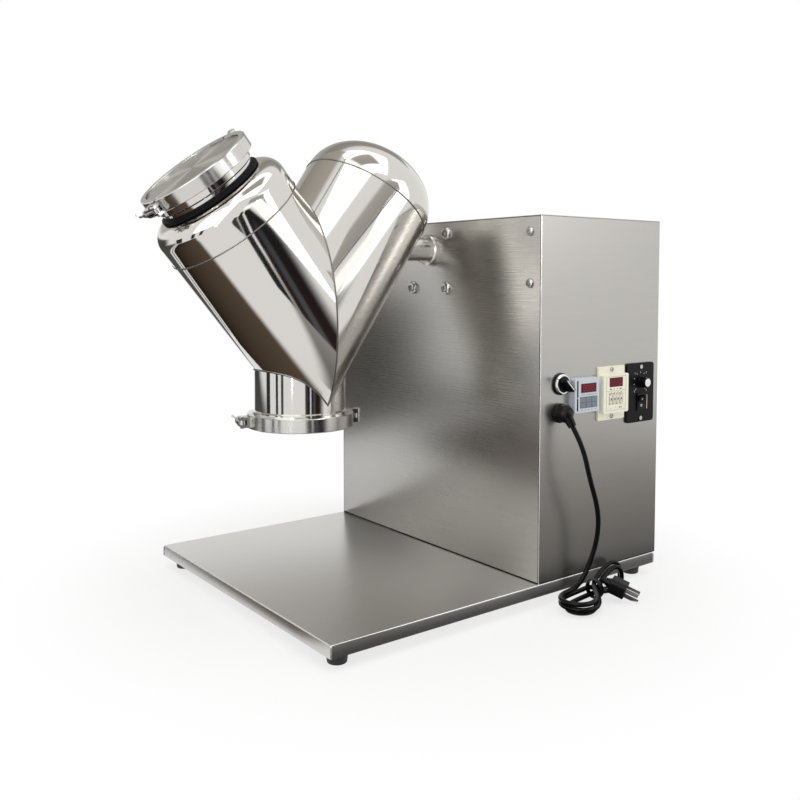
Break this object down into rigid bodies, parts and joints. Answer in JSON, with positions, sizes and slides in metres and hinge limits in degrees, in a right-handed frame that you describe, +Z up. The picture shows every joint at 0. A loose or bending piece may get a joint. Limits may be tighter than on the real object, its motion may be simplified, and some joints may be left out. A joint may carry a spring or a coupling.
{
  "type": "tumbling mixer",
  "caption": "Bench-top V-shaped tumbling mixer: polished twin-leg vessel on a gear-motor cabinet with meter, timer, speed control, lead and plug.",
  "frame": {"origin": "on the bench under the middle of the four feet", "axes": "+X from the vessel to the cabinet, -Y towards the controls, +Z up"},
  "size_m": [0.7459, 0.5792, 0.6732],
  "materials": {
    "satin_steel": "satin brushed stainless steel",
    "mirror_steel": "mirror-polished stainless steel",
    "turned_steel": "fine turned stainless steel",
    "screw_steel": "bright stainless fasteners",
    "mill_steel": "plain steel plate",
    "black_rubber": "matt black rubber",
    "seal_white": "white silicone rubber",
    "motor_paint": "dark grey enamel",
    "gear_alloy": "cast aluminium",
    "can_alloy": "drawn aluminium can",
    "bezel_chrome": "bright chrome",
    "black_plastic": "glossy black plastic",
    "black_matt": "matt black plastic",
    "meter_grey": "light blue-grey plastic",
    "timer_cream": "cream plastic",
    "plate_dark": "dark moulded plate",
    "window_red": "dark red tinted window",
    "wheel_white": "white plastic",
    "pin_brass": "bright plated brass",
    "module_grey": "black module cases"
  },
  "bodies": {
    "housing": {"base_tray": "satin_steel", "rubber_feet": "black_rubber", "foot_screws": "screw_steel", "cabinet_side_wall": "satin_steel", "front_panel": "satin_steel", "rear_panel": "satin_steel", "right_cover": "satin_steel", "top_cover": "satin_steel", "cover_screws": "screw_steel", "motor_mount_plate": "mill_steel", "plate_screws": "screw_steel", "gear_motor_bolts": "screw_steel", "gearbox": "gear_alloy", "motor_body": "motor_paint", "shaft_seal_ring": "mirror_steel", "capacitor": "can_alloy", "terminal_block": "black_matt", "selector_bezel": "bezel_chrome", "panel_modules": "module_grey", "meter_case": "meter_grey", "meter_window": "window_red", "timer_case": "timer_cream", "timer_window": "window_red", "panel_screws": "screw_steel", "speed_plate": "plate_dark", "rocker_frame": "black_plastic", "cord_gland": "black_plastic", "mains_lead": "black_plastic", "lead_hank": "black_plastic", "hank_tie": "black_matt", "plug_body": "black_plastic", "plug_pins": "pin_brass"},
    "barrel": {"left_leg": "mirror_steel", "right_leg": "mirror_steel", "filler_shoulder": "mirror_steel", "domed_end": "mirror_steel", "outlet_stub": "mirror_steel", "filler_ferrule": "mirror_steel", "drive_hub": "mirror_steel", "hub_grub_screws": "screw_steel", "output_shaft": "turned_steel", "filler_cap": "turned_steel", "clamp_gaskets": "seal_white", "filler_clamp_front": "turned_steel", "filler_clamp_back": "turned_steel", "outlet_cap": "turned_steel", "outlet_clamp_front": "turned_steel", "outlet_clamp_back": "turned_steel", "clamp_pins": "screw_steel"},
    "filler_bolt": {"filler_swing_bolt": "screw_steel"},
    "filler_nut": {"filler_wing_nut": "screw_steel"},
    "outlet_bolt": {"outlet_swing_bolt": "screw_steel"},
    "outlet_nut": {"outlet_wing_nut": "screw_steel"},
    "selector": {"selector_handle": "black_plastic"},
    "speed": {"speed_knob": "black_matt"},
    "rocker_switch": {"rocker": "black_plastic"},
    "wheel_1": {"thumbwheel_1": "wheel_white"},
    "wheel_2": {"thumbwheel_2": "wheel_white"},
    "wheel_3": {"thumbwheel_3": "wheel_white"},
    "wheel_4": {"thumbwheel_4": "wheel_white"}
  },
  "joints": [
    {"name": "barrel_spin", "type": "hinge", "parent": "housing", "child": "barrel", "pos_m": [0.03, -0.004, 0.511], "axis": [1, 0, 0], "continuous": true},
    {"name": "filler_bolt_swing", "type": "hinge", "parent": "barrel", "child": "filler_bolt", "pos_m": [-0.42025, -0.03353, 0.55136], "axis": [-0.632, 0, 0.7749], "range_deg": [0, 90]},
    {"name": "filler_nut_turn", "type": "hinge", "parent": "filler_bolt", "child": "filler_nut", "pos_m": [-0.42025, -0.03353, 0.55136], "axis": [-0.2006, 0.9659, -0.1636], "continuous": true},
    {"name": "outlet_bolt_swing", "type": "hinge", "parent": "barrel", "child": "outlet_bolt", "pos_m": [-0.28054, 0.01259, 0.263], "axis": [0, 0, 1], "range_deg": [0, 90]},
    {"name": "outlet_nut_turn", "type": "hinge", "parent": "outlet_bolt", "child": "outlet_nut", "pos_m": [-0.28054, 0.01259, 0.263], "axis": [0.2588, 0.9659, 0], "continuous": true},
    {"name": "selector_turn", "type": "hinge", "parent": "housing", "child": "selector", "pos_m": [0.08651, -0.249, 0.316], "axis": [0, 1, 0], "range_deg": [0, 90]},
    {"name": "speed_turn", "type": "hinge", "parent": "housing", "child": "speed", "pos_m": [0.26094, -0.252, 0.307], "axis": [0, 1, 0], "range_deg": [0, 270]},
    {"name": "rocker_tip", "type": "hinge", "parent": "housing", "child": "rocker_switch", "pos_m": [0.26094, -0.253, 0.2765], "axis": [-1, 0, 0], "range_deg": [0, 22]},
    {"name": "wheel_1_turn", "type": "hinge", "parent": "housing", "child": "wheel_1", "pos_m": [0.18218, -0.2539, 0.2876], "axis": [1, 0, 0], "continuous": true},
    {"name": "wheel_2_turn", "type": "hinge", "parent": "housing", "child": "wheel_2", "pos_m": [0.18968, -0.2539, 0.2876], "axis": [1, 0, 0], "continuous": true},
    {"name": "wheel_3_turn", "type": "hinge", "parent": "housing", "child": "wheel_3", "pos_m": [0.19718, -0.2539, 0.2876], "axis": [1, 0, 0], "continuous": true},
    {"name": "wheel_4_turn", "type": "hinge", "parent": "housing", "child": "wheel_4", "pos_m": [0.20468, -0.2539, 0.2876], "axis": [1, 0, 0], "continuous": true}
  ]
}
